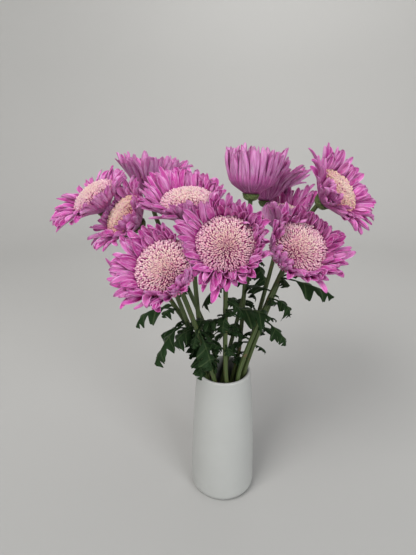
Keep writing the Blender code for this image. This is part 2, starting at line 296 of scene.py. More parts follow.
class Head(namedtuple("Head", "bloom place turn radius")):
    """Where a flower head stands, how it is turned (columns x, y, z) and its cushion's radius."""

    @property
    def axis(self):
        """The way that the head faces."""
        return self.turn[:, 2]

    def set_out(self, points):
        """Points of the head's own frame, in the bunch's frame."""
        return self.place + points @ self.turn.T


def find_head(bloom):
    """A flower head's place, from its cushion and its calyx in the frame."""
    cushion = node_triangles(f"flower_{bloom.number:02d}_cushion")
    calyx = node_triangles(f"flower_{bloom.number:02d}_calyx")
    heart = centre_of(cushion)
    axis = unit(heart - centre_of(calyx))
    corners = cushion.reshape(-1, 3) - heart
    height = corners @ axis
    radius = np.linalg.norm(corners - height[:, None] * axis, axis=1).max()
    place = heart + axis * (height.min() - GAP)
    turn = np.array(Vector(axis).to_track_quat("Z", "Y").to_matrix())
    return Head(bloom, place, turn, radius)


def centre_at(triangles, height):
    """The centre of the outline that a level cut at this height leaves."""
    past = triangles[..., 2] - height
    cut = []
    for a, b in ((0, 1), (1, 2), (2, 0)):
        crosses = past[:, a] * past[:, b] < 0
        share = np.where(crosses, past[:, a] / np.where(crosses, past[:, a] - past[:, b], 1), np.nan)
        cut.append(triangles[:, a] + (triangles[:, b] - triangles[:, a]) * share[:, None])
    cut = np.stack(cut, 1)
    found = cut[(~np.isnan(cut[..., 0])).sum(1) == 2]
    ends = found[~np.isnan(found[..., 0])].reshape(-1, 2, 3)
    weight = np.linalg.norm(ends[:, 1] - ends[:, 0], axis=1)
    return (ends.mean(1) * weight[:, None]).sum(0) / weight.sum()


def find_stem(head):
    """The middle line of a stem, from its foot to the underside of its calyx."""
    triangles = node_triangles(f"flower_{head.bloom.number:02d}_stem")
    low, high = triangles[..., 2].min(), triangles[..., 2].max()
    end = head.place + head.axis * (CALYX_LOW - GAP)
    heights = np.linspace(low + STEM_FOOT, min(high, end[2]) - STEM_NECK, STEM_CUTS)
    line = np.array([centre_at(triangles, height) for height in heights])
    foot = line[0] + (line[0] - line[1]) / (line[1][2] - line[0][2]) * (line[0][2] - low)
    line = np.concatenate([[foot], line, [end]])
    for _ in range(STEM_SMOOTHINGS):
        line[1:-1] = line[:-2] * 0.25 + line[1:-1] * 0.5 + line[2:] * 0.25
    return line


HEADS = [find_head(bloom) for bloom in BLOOMS]
STEMS = {head.bloom.number: find_stem(head) for head in HEADS}


def walls_of(head):
    """Planes (normals, offsets) that the petals of a head stay behind: one towards each
    neighbour's cushion and one in front of each other stem."""
    heart = head.place + head.axis * SKIRT
    normals, offsets = [], []
    for other in HEADS:
        if other is head:
            continue
        away = other.place + other.axis * SKIRT - heart
        far = np.linalg.norm(away)
        share = head.radius / (head.radius + other.radius)
        normals.append(away / far)
        past = head.bloom.reach.get(other.bloom.number, 0) * MM
        offsets.append(normals[-1] @ heart + far * share - HEAD_CLEARANCE + past)
        line = STEMS[other.bloom.number]
        nearest = line[np.argmin(np.linalg.norm(line - heart, axis=1))]
        away = nearest - heart
        far = np.linalg.norm(away)
        normals.append(away / far)
        offsets.append(normals[-1] @ heart + far - STEM_CLEARANCE)
    return np.array(normals), np.array(offsets)


# ---------------------------------------------------------------- finishes


class Value:
    """A shader socket that Python's operators build nodes on."""

    def __init__(self, finish, socket):
        self.finish, self.socket = finish, socket

    def _maths(self, operation, *values):
        """The outcome of a Math node on these values."""
        return self.finish.node("ShaderNodeMath", {"operation": operation}, dict(enumerate(values)))

    def __add__(self, other):
        return self._maths("ADD", self, other)

    def __mul__(self, other):
        return self._maths("MULTIPLY", self, other)

    def __sub__(self, other):
        return self._maths("SUBTRACT", self, other)

    def __rsub__(self, other):
        return self._maths("SUBTRACT", other, self)

    def __abs__(self):
        return self._maths("ABSOLUTE", self)

    __radd__, __rmul__ = __add__, __mul__

    def fraction(self):
        """What the value has past a whole number."""
        return self._maths("FRACT", self)

    def step(self, low, high):
        """0 below low and 1 above high, smooth between; or the other way if low is the larger."""
        return self.finish.node(
            "ShaderNodeMapRange", {"interpolation_type": "SMOOTHSTEP"},
            {"Value": self, "From Min": min(low, high), "From Max": max(low, high),
             "To Min": float(low > high), "To Max": float(low < high)})


class Finish:
    """A material being made, and the ways to add nodes to it."""

    def __init__(self, name):
        self.material = bpy.data.materials.new(name)
        self.material.use_nodes = True
        self.tree = self.material.node_tree
        self.shader = self.tree.nodes["Principled BSDF"]

    def node(self, kind, settings=None, inputs=None, output=0):
        """Adds a node: first its settings, then the values or links of its sockets."""
        made = self.tree.nodes.new(kind)
        for key, value in (settings or {}).items():
            setattr(made, key, value)
        for key, value in (inputs or {}).items():
            self._put(self._socket(made.inputs, key), value)
        return Value(self, self._socket(made.outputs, output))

    @staticmethod
    def _socket(sockets, key):
        """A socket by its number, its name or its identifier."""
        if isinstance(key, int):
            return sockets[key]
        return next(s for s in sockets if key in (s.identifier, s.name) and s.enabled)

    def _put(self, socket, value):
        """Links a value to a socket, or sets it there."""
        if isinstance(value, Value):
            self.tree.links.new(value.socket, socket)
        elif hasattr(value, "__len__") and socket.type == "RGBA":
            socket.default_value = (*value[:3], 1)
        else:
            socket.default_value = value

    def attribute(self, name):
        """A named value of the mesh's points."""
        return self.node("ShaderNodeAttribute", {"attribute_name": name}, output="Fac")

    def mix(self, share, first, second):
        """A colour between two others."""
        return self.node("ShaderNodeMix", {"data_type": "RGBA", "clamp_factor": True},
                         {"Factor_Float": share, "A_Color": first, "B_Color": second}, "Result_Color")

    def vector(self, x, y, z):
        """Three values as one vector."""
        return self.node("ShaderNodeCombineXYZ", inputs={"X": x, "Y": y, "Z": z})

    def place(self):
        """Coordinates on the piece, in metres."""
        return self.node("ShaderNodeTexCoord", output="Object")

    def noise(self, at, scale, detail=3.0, rough=0.55):
        """Cloudy values from 0 to 1."""
        return self.node("ShaderNodeTexNoise", inputs={
            "Vector": at, "Scale": scale, "Detail": detail, "Roughness": rough}, output="Fac")

    def bump(self, height, depth, strength=1.0):
        """Feeds the Normal from a height of 0 to 1 that is this deep."""
        self.set(Normal=self.node("ShaderNodeBump", inputs={
            "Height": height, "Distance": depth, "Strength": strength}))

    def set(self, **values):
        """Sets or links the shader's sockets."""
        for key, value in values.items():
            self._put(self._socket(self.shader.inputs, key.replace("_", " ")), value)


# ---------------------------------------------------------------- petals

# Rows of petals, lowest first: share of the petals, share of their length, change of slope in
# degrees, and height of the start in millimetres
PETAL_ROWS = ((0.26, 1.0, -12, 0.0), (0.27, 1.0, -2, 0.6), (0.25, 0.90, 8, 1.2), (0.22, 0.74, 18, 1.8))
PETAL_BASE_RADIUS = 6.5 * MM  # where petals leave the calyx
PETAL_CLAW = 2.6 * MM  # their width there
PETAL_CLEARANCE = 2.2 * MM  # from the cushion's edge to the petals
PETAL_DROP = 1 * MM  # how far below that edge they pass it
PETAL_BASE_STATIONS = 4  # stations from the calyx to the cushion's edge
# Stations past that edge, as shares of the rest of the petal, closer together near its tip
PETAL_STATIONS = np.array([0, 0.1, 0.2, 0.3, 0.4, 0.5, 0.6, 0.7, 0.78, 0.85, 0.91, 0.955, 0.985, 1.0])
PETAL_COLUMNS = 11
PETAL_RIBS = 2.5  # ribs on each half of a petal
MIDDLING_RADIUS = 25 * MM  # cushion that carries the set number of petals
FOLDED_LOSS = 0.5  # share of its length that a petal loses when it is folded right up
# Stances in which a petal is tried until it clears its neighbours: share of a full fold, and
# share of its length. The last resort is a full fold and the shortest length.
FOLD_STEPS, CUT_STEPS, CUTS, SHORTEST = 24, 20, 13, 0.3
STANCES = ([(step / FOLD_STEPS, 1.0) for step in range(FOLD_STEPS + 1)]
           + [(1.0, 1 - step / CUT_STEPS) for step in range(1, CUTS + 1)])


class BUNCH_PG_petals(bpy.types.PropertyGroup):
    """Sizes and colours of the ray petals."""

    count: IntProperty(name="Petals", description="Petals on a flower of middling size", default=84, min=12)
    width: FloatProperty(name="Width", description="Greatest width of a petal", default=7.6 * MM,
                         unit="LENGTH")
    thickness: FloatProperty(name="Thickness", description="Thickness of a petal", default=0.36 * MM,
                             unit="LENGTH")
    upper: FloatVectorProperty(name="Upper", description="Colour of the upper side", subtype="COLOR",
                               default=(0.74, 0.18, 0.55))
    # Deep: the petal's own deeper streaks, and painted shade towards the cushion, down the channel and
    # between the ribs
    deep: FloatVectorProperty(name="Deep", description="Colour between the ribs", subtype="COLOR",
                              default=(0.42, 0.012, 0.25))
    under: FloatVectorProperty(name="Under", description="Colour of the underside", subtype="COLOR",
                               default=(0.86, 0.45, 0.75))
    # Pale: the paler petals and patches are the petal's own colour; along the edges it is a painted
    # highlight
    pale: FloatVectorProperty(name="Pale", description="Colour of the edges", subtype="COLOR",
                              default=(0.92, 0.50, 0.82))
    worn: FloatVectorProperty(name="Worn", description="Colour of worn tips", subtype="COLOR",
                              default=(0.16, 0.03, 0.09))


def petal_finish(look):
    """Satin petal: ribs along it, a paler underside that darkens to its edges, painted shade towards the
    cushion, down its channel and between its ribs, a painted highlight along its edges, worn tips.
    """
    made = Finish("ray_petal")
    along, across = made.attribute("along"), made.attribute("across")
    side, tint = made.attribute("side"), made.attribute("tint")
    streak_at = made.vector(across * 5, along * 1.3, tint * 60)
    streaks = made.noise(streak_at, 1.6, 4, 0.6)
    patches = made.noise(made.vector(across * 1.2, along * 2.5, tint * 35), 1.2, 2)
    ribs = abs((across * PETAL_RIBS + 0.5).fraction() - 0.5) * 2
    # The deep streaks are the petal's own colour; the ribs term adds slight painted shade between the ribs
    upper = made.mix(streaks.step(0.3, 0.75) * 0.75 + ribs * 0.15, look.deep, look.upper)
    upper = made.mix(tint.step(0.3, 1.0) * 0.4, upper, look.pale)
    # Painted shade down the middle of the channel
    upper = made.mix(abs(across).step(0.45, 0.0) * 0.35, upper, look.deep)
    # Painted shade towards the cushion, where the petals crowd each other
    upper = made.mix(along.step(0.62, 0.08) * 0.9, upper, look.deep)
    under = made.mix(streaks.step(0.3, 0.7) * 0.8, [c * 0.6 for c in look.upper], look.under)
    # Painted shade on the underside towards the cushion
    under = made.mix(along.step(0.3, 0.0) * 0.55, under, look.deep)
    under = made.mix(abs(across).step(0.5, 1.0) * 0.6, under, look.deep)
    colour = made.mix(side, upper, under)
    colour = made.mix(patches.step(0.4, 0.75) * 0.4, colour, look.pale)
    # Painted highlight along the edges, stronger on the upper side
    edges = abs(across).step(0.72, 1.0) * along.step(0.1, 0.6)
    colour = made.mix(edges * (0.5 - side * 0.45), colour, look.pale)
    tips = along.step(0.84, 1.0) * tint.step(0.45, 0.8) * patches.step(0.35, 0.6)
    colour = made.mix(tips * 0.6, colour, look.worn)
    made.set(Base_Color=colour, Roughness=streaks * 0.15 + 0.42, Subsurface_Weight=0.3,
             Subsurface_Radius=(0.7, 0.15, 0.5), Subsurface_Scale=1.5 * MM, Specular_IOR_Level=0.25)
    made.bump(streaks * 0.6 + ribs * 0.4, 0.3 * MM, 0.8)
    return made.material


# Petals of one head, as columns of values. angle: turn round the head's axis; root and tip: slopes in
# degrees; curl: how much more the end bends up; start: height of the start; sway: how far the tip
# leans aside; roll and twist: turns about the petal's own line, soon past the cushion and all along
# the blade; cup: depth of its channel; blunt: how broad its end is; tint: a share that sets its
# colour apart
Petals = namedtuple("Petals", "angle length root tip curl start sway roll twist width cup blunt tint")


def petal_lines(head, petals, fold, kept):
    """Middle lines of petals: shares along, shares past the cushion's edge, radii and heights."""
    climb = SKIRT - PETAL_DROP - petals.start
    run = head.radius + PETAL_CLEARANCE - PETAL_BASE_RADIUS
    base = np.hypot(run, climb)
    base_slope = np.degrees(np.arctan2(climb, run))[:, None]
    length = petals.length * kept * (1 - FOLDED_LOSS * fold)

    def past_edge(along):
        return np.clip((along - base[:, None]) / length[:, None], 0, 1)

    low = np.linspace(0, 1, PETAL_BASE_STATIONS, endpoint=False) * base[:, None]
    along = np.concatenate([low, base[:, None] + length[:, None] * PETAL_STATIONS], 1)
    middle = (along[:, 1:] + along[:, :-1]) / 2
    share = past_edge(middle)
    free = petals.root[:, None] + (petals.tip - petals.root)[:, None] * share
    free = free + petals.curl[:, None] * share**3
    free = free + (90 - free) * fold[:, None] * smooth(share * 4 + 0.3)
    slope = np.radians(base_slope + (free - base_slope) * smooth(middle / base[:, None] * 4 - 3))
    step = np.diff(along, axis=1)

    def climbed(part):
        return np.concatenate([np.zeros((len(base), 1)), np.cumsum(step * part, 1)], 1)

    radius = PETAL_BASE_RADIUS + climbed(np.cos(slope))
    height = petals.start[:, None] + climbed(np.sin(slope))
    return along / along[:, -1:], past_edge(along), radius, height


def petal_places(head, petals, radius, height, past):
    """Points of the middle lines in the bunch's frame, swayed aside."""
    turn = petals.angle[:, None] + petals.sway[:, None] * past**2
    return head.set_out(np.stack([radius * np.cos(turn), radius * np.sin(turn), height], -1))


def folded(head, petals):
    """How far each petal folds up, and how much of its length it keeps, to stay behind the walls."""
    normals, offsets = walls_of(head)
    count = len(petals.angle)
    aside = round_way(petals.angle + math.pi / 2) @ head.turn.T
    spare = np.abs(aside @ normals.T) * petals.width[:, None] * 0.35
    fold, kept = np.ones(count), np.full(count, SHORTEST)
    waiting = np.ones(count, bool)
    for stance in STANCES:
        tried = [np.full(count, value) for value in stance]
        _, past, radius, height = petal_lines(head, petals, *tried)
        places = petal_places(head, petals, radius, height, past)
        over = (places @ normals.T - offsets) + spare[:, None, :]
        clear = (over * (past > 0.2)[..., None]).max((1, 2)) <= 0
        now = waiting & clear
        fold[now], kept[now] = stance
        waiting &= ~clear
    return fold, kept


def draw_petals(head, look, random):
    """The petals of one head, row by row, each a little different."""

    def vary(spread):
        return random.normal(0, spread, count).clip(-2 * spread, 2 * spread)

    bloom = head.bloom
    total = look.count * bloom.dense * head.radius / MIDDLING_RADIUS
    way = unit(unit(np.array([bloom.way[0], 0, bloom.way[1]])) @ head.turn * [1, 1, 0]) @ head.turn.T
    steep = 1 if bloom.root < 70 else 0.5
    rows = []
    for row, (share, reach, lift, start) in enumerate(PETAL_ROWS):
        count = round(total * share)
        spots = np.arange(count) + row / 3 + random.uniform(-0.28, 0.28, count)
        angle = spots * math.tau / count
        facing = 0.5 + 0.5 * (round_way(angle) @ head.turn.T) @ way
        fall = bloom.fall * facing**1.6
        lean = vary(6)
        rows.append(Petals(
            angle=angle,
            length=bloom.ray * MM * reach * (1 + vary(0.08)) * (1 - bloom.short * (1 - facing)),
            root=bloom.root + lift * steep + lean - fall * 0.45,
            tip=bloom.tip + lift * steep + lean * 1.5 - fall + vary(6),
            curl=vary(22) + 8,
            start=np.full(count, start * MM),
            sway=np.radians(vary(7)),
            roll=np.radians(np.where(np.arange(count) % 2, 9, -9) + vary(7)),
            twist=np.radians(vary(24)),
            width=look.width * (1 + vary(0.13)) * (0.9 + 0.1 * reach) * bloom.dense**-0.4,
            cup=random.uniform(0.16, 0.66, count),
            blunt=random.uniform(0.0, 1.0, count) ** 1.8,
            tint=random.uniform(0.0, 1.0, count),
        ))
    return Petals(*(np.concatenate(column) for column in zip(*rows)))


def petal_widths(petals, along, past):
    """Widths at each station: a claw that widens, then a blade that rounds off to its tip."""
    whole = petals.width[:, None]
    claw_share = np.clip(along / along[:, PETAL_BASE_STATIONS, None], 0, 1)
    claw = PETAL_CLAW + (whole * 0.6 - PETAL_CLAW) * claw_share
    end = 0.14 + 0.34 * petals.blunt[:, None]
    rounding = np.clip(1 - np.clip((past - 0.45) / 0.55, 0, 1) ** 2.2, 0, 1) ** 0.52
    blade = whole * (0.58 + 0.42 * smooth(past / 0.6)) * (end + (1 - end) * rounding)
    return np.where(past > 0, blade, claw)


def petal_relief(petals, past, width, x):
    """How far the surface stands off the middle line: a channel, grooves and ruffled edges."""
    past = past[..., None]
    ruffle = np.sin(past * 9 + petals.tint[:, None, None] * 40 + x * 2) * np.abs(x) ** 3
    channel = petals.cup[:, None, None] * (x**2 - 0.35) * width[..., None] * (1 - 0.2 * past)
    grooves = 0.14 * MM * np.cos(x * PETAL_RIBS * math.pi) * smooth(past * 3)
    return channel + grooves + ruffle * 0.5 * MM * smooth(past * 2)


def petal_ends(petals, past, x):
    """How far each tip is cut back between its teeth and at its corners."""
    blunt = petals.blunt[:, None]
    notch = np.exp(-((np.abs(x) - 0.38) / 0.16) ** 2) * (0.5 + blunt) * 1.1 * MM
    cut = 1.5 * MM * x**2 * (0.4 + blunt) + notch
    return cut[:, None] * smooth((past - 0.8) / 0.2)[..., None]


def petal_sheets(head, petals, look):
    """Closed shells of all petals of a head, and the values that their finish reads."""
    fold, kept = folded(head, petals)
    along, past, radius, height = petal_lines(head, petals, fold, kept)
    middle = petal_places(head, petals, radius, height, past)
    tangent = unit(np.gradient(middle, axis=1))
    radial = round_way(petals.angle) @ head.turn.T
    clockwise = unit(np.cross(radial, head.axis))[:, None]
    side = unit(clockwise - tangent * (clockwise * tangent).sum(-1, keepdims=True))
    up = np.cross(side, tangent)
    roll = (petals.roll[:, None] * smooth(past * 2) + petals.twist[:, None] * past)[..., None]
    side, up = side * np.cos(roll) + up * np.sin(roll), up * np.cos(roll) - side * np.sin(roll)

    x = np.linspace(-1, 1, PETAL_COLUMNS)
    width = petal_widths(petals, along, past)
    lift = petal_relief(petals, past, width, x)
    back = petal_ends(petals, past, x)
    grid = (middle[:, :, None] + side[:, :, None] * (width[..., None] / 2 * x)[..., None]
            + up[:, :, None] * lift[..., None] - tangent[:, :, None] * back[..., None])
    spread = grid.shape[:3]
    half = np.broadcast_to(look.thickness / 2 * (1 - 0.55 * np.abs(x) ** 4), spread)
    points, faces = shells(grid, half, half)
    return points, faces, {
        "along": both_sides(past[..., None], spread), "across": both_sides(x, spread),
        "side": side_flags(spread), "tint": both_sides(petals.tint[:, None, None], spread)}


class BUNCH_OT_petals(bpy.types.Operator):
    """Builds the ray petals of every flower"""

    bl_idname = "bunch.petals"
    bl_label = "Petals"

    def execute(self, context):
        look = context.scene.bunch_petals
        finish = petal_finish(look)
        for head in HEADS:
            number = head.bloom.number
            random = np.random.default_rng(PETAL_SEED + number)
            shape = Shape("along", "across", "side", "tint")
            points, faces, values = petal_sheets(head, draw_petals(head, look, random), look)
            shape.add(points, faces, **values)
            shape.piece(f"petals_{number:02d}", finish, "ray", f"flower_{number:02d}_rays")
        return {"FINISHED"}


# ---------------------------------------------------------------- cushions of florets


class BUNCH_PG_florets(bpy.types.PropertyGroup):
    """Sizes and colours of the tubular florets."""

    pitch: FloatProperty(name="Pitch", description="Distance between florets", default=2.22 * MM,
                         unit="LENGTH")
    flare: FloatProperty(name="Flare", description="Radius of a floret's open mouth", default=0.98 * MM,
                         unit="LENGTH")
    tip: FloatVectorProperty(name="Tip", description="Colour of the lobes", subtype="COLOR",
                             default=(0.96, 0.66, 0.72))
    warm_tip: FloatVectorProperty(name="Warm tip", description="Colour of the lobes on peach flowers",
                                  subtype="COLOR", default=(0.96, 0.66, 0.50))
    heart: FloatVectorProperty(name="Heart", description="Colour of the lobes in the middle",
                               subtype="COLOR", default=(0.96, 0.78, 0.66))
    tube: FloatVectorProperty(name="Tube", description="Colour of the tubes", subtype="COLOR",
                              default=(0.76, 0.15, 0.50))
    # Core shade: painted shade deep between the florets, on the body under them and far down their tubes
    core: FloatVectorProperty(name="Core", description="Colour deep between the florets",
                              subtype="COLOR", default=(0.42, 0.03, 0.22))


# Rings of a floret, from deep in the cushion up to its mouth and down inside it: radius of its
# lobes and radius between them, in shares of the flare, and height above the mouth in millimetres
FLORET_RINGS = (
    (0.36, 0.36, -6.0), (0.54, 0.52, -1.8), (0.74, 0.60, -0.6),
    (1.00, 0.56, 0.25), (0.94, 0.50, 0.33), (0.50, 0.38, -0.35), (0.18, 0.18, -1.5),
)
MOUTH_RISES = (0.72, 0.35)  # rise of the rings inside the mouth, which sets their colour
FLORET_SIDES = 10
LOBE_RINGS = (3, 4)  # rings whose lobes droop or stand
OPENING_RINGS = 2  # rings that keep their width where florets crowd
FLORET_ROOM = 0.88  # area of a floret, in squares of the pitch
GOLDEN_TURN = math.pi * (3 - math.sqrt(5))
PROFILE_END = math.radians(98)  # how far down its side the cushion carries florets
CROWDED_TO = 0.7  # radians from the middle within which florets crowd
# How far the florets stand out past the cushion's edge, how far on a head whose petals close over
# it, and the slope of the tips from which a head is one of those
SWELL, CLOSED_SWELL, CLOSED_TIP = 3.0 * MM, -0.4 * MM, 90
DOME_DROP = 1 * MM  # how much lower the dome of mouths is than the frame's crown
MOUTH_LIFT = 2 * MM  # from the cushion's widest circle up to the widest circle of mouths
SIDE_DROP = 10 * MM  # how far mouths go down for each radian past that circle
# Spreads of the mouths' places, of the point that they face away from and of how far they stand out
MOUTH_SPREAD, AIM_SPREAD, REACH_SPREAD = 0.2 * MM, 1.0 * MM, 0.55 * MM
EDGE_SINK = 1.2  # the most that a mouth at the edge is sunk, in millimetres
CORE_INSET, CORE_FOOT, CORE_FOOT_RADIUS, CORE_SIDES = 3.2 * MM, 0.6 * MM, 6 * MM, 48


def floret_finish(look, name, tip):
    """Florets: deep pink tubes that pale to cream lobes, yellower in the middle of the cushion, with
    painted shade deep between them.
    """
    made = Finish(name)
    rise, rim, tint = made.attribute("rise"), made.attribute("rim"), made.attribute("tint")
    grain = made.noise(made.place(), 900, 2)
    lobe = made.mix(rim.step(0.75, 0.1) * 0.85, tip, look.heart)
    lobe = made.mix(rim.step(0.6, 1.02) * 0.72, lobe, look.tube)
    lobe = made.mix(tint.step(0.35, 1.0) * 0.4, lobe, look.tube)
    lobe = made.mix(grain.step(0.4, 0.7) * 0.3, lobe, [min(1, c * 1.12) for c in tip])
    colour = made.mix(rise.step(0.45, 0.9), look.tube, lobe)
    # Painted shade on the rings deep in the cushion and down in the mouth
    colour = made.mix(rise.step(0.5, 0.1), colour, look.core)
    made.set(Base_Color=colour, Roughness=grain * 0.2 + 0.5, Subsurface_Weight=0.2,
             Subsurface_Radius=(0.6, 0.3, 0.35), Subsurface_Scale=1 * MM, Specular_IOR_Level=0.3)
    made.bump(grain, 0.08 * MM, 0.5)
    return made.material


def floret_spots(head, look, random):
    """Places on the dome, in a spiral: angles down from its top, turns, radii, heights, crowding."""
    radius = head.radius + (SWELL if head.bloom.tip < CLOSED_TIP else CLOSED_SWELL)
    side = math.pi / 2
    down = np.linspace(0, PROFILE_END, 200)
    out = radius * np.sin(np.minimum(down, side))
    up = np.where(down < side, (CROWN - DOME_DROP) * np.cos(down), -(down - side) * SIDE_DROP)
    step = np.hypot(np.diff(out), np.diff(up))
    crowd = 1 + 0.9 * (1 - smooth(down / CROWDED_TO))
    area = np.concatenate([[0], np.cumsum(step * (out[1:] + out[:-1]) * math.pi * crowd[1:])])
    count = int(area[-1] / (FLORET_ROOM * look.pitch**2))
    where = np.interp((np.arange(count) + 0.5) / count, area / area[-1], down)
    turn = np.arange(count) * GOLDEN_TURN + random.normal(0, 0.02, count)
    return where, turn, *(np.interp(where, down, held) for held in (out, up, crowd))


def add_florets(shape, head, look, random):
    """Florets set in a spiral over the dome and a little under its edge."""
    where, turn, out, up, crowd = floret_spots(head, look, random)
    count = len(where)
    rim = np.clip(where / (math.pi / 2), 0, 1.2)
    mouth = np.stack([out * np.cos(turn), out * np.sin(turn), SKIRT + MOUTH_LIFT + up], -1)
    mouth += random.normal(0, MOUTH_SPREAD, (count, 3))
    aim = unit(mouth - np.array([0, 0, 1 * MM]) + random.normal(0, AIM_SPREAD, (count, 3)))
    reach = random.normal(0, REACH_SPREAD, count)
    reach = reach - smooth((rim - 0.9) / 0.1) * random.uniform(0.0, EDGE_SINK, count) * MM
    mouth = mouth + aim * (reach - 0.6 * MM)[:, None]
    first, second = across_frame(aim)
    openness = crowd**-0.5 * random.uniform(0.85, 1.12, count)
    spin = random.uniform(0, math.tau, count)
    sides = spin[:, None] + np.arange(FLORET_SIDES) * math.tau / FLORET_SIDES
    spokes = first[:, None] * np.cos(sides)[..., None] + second[:, None] * np.sin(sides)[..., None]
    is_lobe = np.arange(FLORET_SIDES) % 2 == 0
    droops = random.uniform(-0.35, 0.25, (len(FLORET_RINGS), count, FLORET_SIDES)) * MM
    rings = []
    for number, (wide, narrow, height) in enumerate(FLORET_RINGS):
        flare = np.where(is_lobe, wide, narrow)[None] * look.flare
        flare = flare * (openness[:, None] if number >= OPENING_RINGS else 1.0)
        droop = np.where(is_lobe, droops[number], 0) * (number in LOBE_RINGS)
        rings.append(mouth[:, None] + spokes * flare[..., None]
                     + (height * MM + droop)[..., None] * aim[:, None])
    points = np.stack(rings, 1)
    outside = FLORET_RINGS[:-len(MOUTH_RISES)]
    rises = [np.clip(1 + height / 4.5, 0, 1) for _, _, height in outside] + list(MOUTH_RISES)
    walls, caps = tube_faces(count, len(FLORET_RINGS), FLORET_SIDES)
    spread = points.shape[:3]
    tint = random.uniform(0, 1, count)[:, None, None]
    shape.add(head.set_out(points.reshape(-1, 3)), [walls, caps], tint=all_over(tint, spread),
              rise=all_over(np.array(rises)[:, None], spread), rim=all_over(rim[:, None, None], spread))


def add_core(shape, head):
    """The body that the florets stand on, which takes the painted shade seen between them."""
    inner = head.radius - CORE_INSET
    foot = [(0.05 * MM, CORE_FOOT), (CORE_FOOT_RADIUS, CORE_FOOT)]
    dome = [(inner * math.sin(a), SKIRT - 1.5 * MM + (CROWN - 2.2 * MM) * math.cos(a))
            for a in np.linspace(math.pi / 2, 0.02, 12)]
    shape.add_rings(turned(foot + dome, CORE_SIDES), head)


class BUNCH_OT_florets(bpy.types.Operator):
    """Builds the cushion of tubular florets of every flower"""

    bl_idname = "bunch.florets"
    bl_label = "Florets"

    def execute(self, context):
        look = context.scene.bunch_florets
        finishes = [floret_finish(look, "florets_cream", look.tip),
                    floret_finish(look, "florets_peach", look.warm_tip)]
        for head in HEADS:
            number = head.bloom.number
            random = np.random.default_rng(FLORET_SEED + number)
            shape = Shape("rise", "rim", "tint")
            add_core(shape, head)
            add_florets(shape, head, look, random)
            slot = "cushion_peach" if head.bloom.peach else "cushion_cream"
            shape.piece(f"florets_{number:02d}", finishes[head.bloom.peach], slot,
                        f"flower_{number:02d}_cushion")
        return {"FINISHED"}


# ---------------------------------------------------------------- calyxes


class BUNCH_PG_bracts(bpy.types.PropertyGroup):
    """Sizes and colours of the calyx."""

    count: IntProperty(name="Bracts", description="Bracts in one row", default=13, min=5)
    green: FloatVectorProperty(name="Green", description="Colour of the bracts", subtype="COLOR",
                               default=(0.10, 0.17, 0.045))
    edge: FloatVectorProperty(name="Edge", description="Colour of their papery edges", subtype="COLOR",
                              default=(0.28, 0.24, 0.12))


def bract_finish(look):
    """Green bracts with papery edges."""
    made = Finish("bract")
    across, along, tint = made.attribute("across"), made.attribute("along"), made.attribute("tint")
    streaks = made.noise(made.vector(across * 4, along * 1.5, tint * 40), 2, 3)
    colour = made.mix(streaks.step(0.3, 0.7), [c * 0.55 for c in look.green], look.green)
    colour = made.mix(abs(across).step(0.7, 1.0) * 0.7, colour, look.edge)
    colour = made.mix(tint * 0.3, colour, [0.22, 0.32, 0.11])
    made.set(Base_Color=colour, Roughness=streaks * 0.2 + 0.5, Specular_IOR_Level=0.35)
    made.bump(streaks, 0.15 * MM, 0.6)
    return made.material


# The calyx in millimetres, in the head's frame: (radius, height) points of its bowl, and heights and
# radii that the bracts follow, by share of the way up
CALYX_BOWL = ((0.05, -7.4), (2.9, -7.3), (5.2, -6.2), (7.0, -4.4), (7.9, -2.4), (8.1, -0.6), (6.4, 0.5),
              (0.05, 0.6))
BRACT_SHARES = (0, 0.3, 0.6, 0.85, 1.05)
BRACT_HEIGHTS = (-7.35, -6.0, -3.9, -1.4, 0.6)
BRACT_RADII = (3.0, 5.7, 7.5, 8.5, 9.3)
# Rows of bracts: shares where they start and end, and how proud they stand
BRACT_ROWS = ((0.0, 0.62, 0.75), (0.06, 0.86, 0.45), (0.15, 1.02, 0.15))
BRACT_WIDTH, BRACT_THICKNESS = 3.8, 0.44
BRACT_STATIONS, BRACT_COLUMNS, BOWL_SIDES = 10, 7, 40


def add_bracts(shape, head, look, random):
    """Three rows of overlapping bracts round a bowl that joins the petals to the stem."""
    shape.add_rings(turned(np.array(CALYX_BOWL) * MM, BOWL_SIDES), head, along=0.2, tint=0.3)
    share = np.linspace(0, 1, BRACT_STATIONS)
    x = np.linspace(-1, 1, BRACT_COLUMNS)
    rounding = np.sqrt(np.clip(1 - np.clip((share - 0.45) / 0.56, 0, 1) ** 2, 0.01, 1))
    half = BRACT_WIDTH / 2 * rounding * (0.55 + 0.45 * smooth(share * 2.5))
    lateral = x[None, :] * half[:, None]
    count = look.count
    for row, (start, end, proud) in enumerate(BRACT_ROWS):
        turn = (np.arange(count) + row / 2 + random.uniform(-0.12, 0.12, count)) * math.tau / count
        place = start + (end - start) * share
        heights = np.interp(place, BRACT_SHARES, BRACT_HEIGHTS)
        radii = np.interp(place, BRACT_SHARES, BRACT_RADII) + proud * smooth(share * 3)
        tips = random.uniform(-0.2, 0.5, count)[:, None] * share**3
        sag = 0.5 * lateral**2 / np.maximum(radii, 3)[:, None]
        out = (radii + tips)[:, :, None] - sag[None]
        radial, aside = round_way(turn), round_way(turn + math.pi / 2)
        grid = (radial[:, None, None] * out[..., None] + aside[:, None, None] * lateral[None, ..., None]
                + np.array([0, 0, 1.0]) * heights[None, :, None, None]) * MM
        spread = grid.shape[:3]
        thick = np.broadcast_to(BRACT_THICKNESS / 2 * MM * (1 - 0.5 * np.abs(x) ** 3), spread)
        points, faces = shells(head.set_out(grid), thick, thick)
        tint = random.uniform(0, 1, count)[:, None, None]
        shape.add(points, faces, along=both_sides(share[:, None], spread),
                  across=both_sides(x, spread), tint=both_sides(tint, spread))


